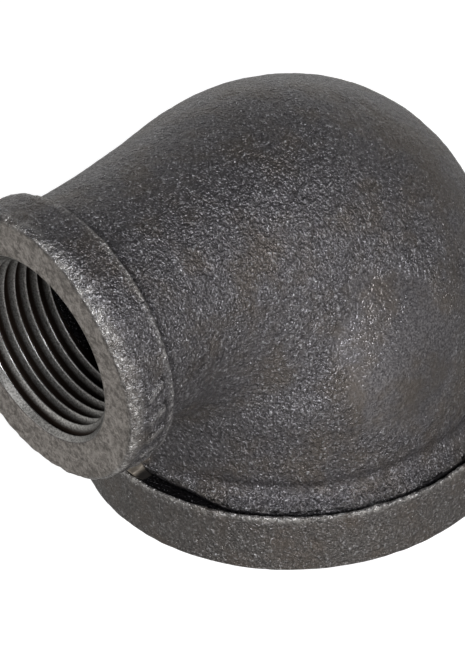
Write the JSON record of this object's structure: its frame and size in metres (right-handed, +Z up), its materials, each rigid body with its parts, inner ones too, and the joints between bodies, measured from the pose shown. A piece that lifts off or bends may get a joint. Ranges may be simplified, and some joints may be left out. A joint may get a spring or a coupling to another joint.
{
  "type": "pipe elbow",
  "caption": "Banded black malleable-iron reducing pipe elbow, a right-angle bend with a large female-threaded port below and a small one at the side.",
  "frame": {"origin": "centre of the large port's mouth, on the plane it rests on", "axes": "+Z up along the large port's axis into the fitting, -Y out of the small port along its axis, X across the fitting's plane of symmetry"},
  "size_m": [0.0624, 0.0756, 0.0575],
  "materials": {
    "cast_skin": "as-cast, fine sand grain, dull black oxide",
    "band_skin": "as-cast, coarser grain, rubbed bright along the edges",
    "cut_thread": "cut and lightly oiled, dark in the roots",
    "ground_web": "ground smooth"
  },
  "bodies": {
    "root": {"elbow_bend": "cast_skin", "large_socket": "cast_skin", "small_socket": "cast_skin", "large_band": "band_skin", "small_band": "band_skin", "large_thread": "cut_thread", "small_thread": "cut_thread", "crotch_web": "ground_web", "cast_marks": "band_skin"}
  },
  "joints": []
}
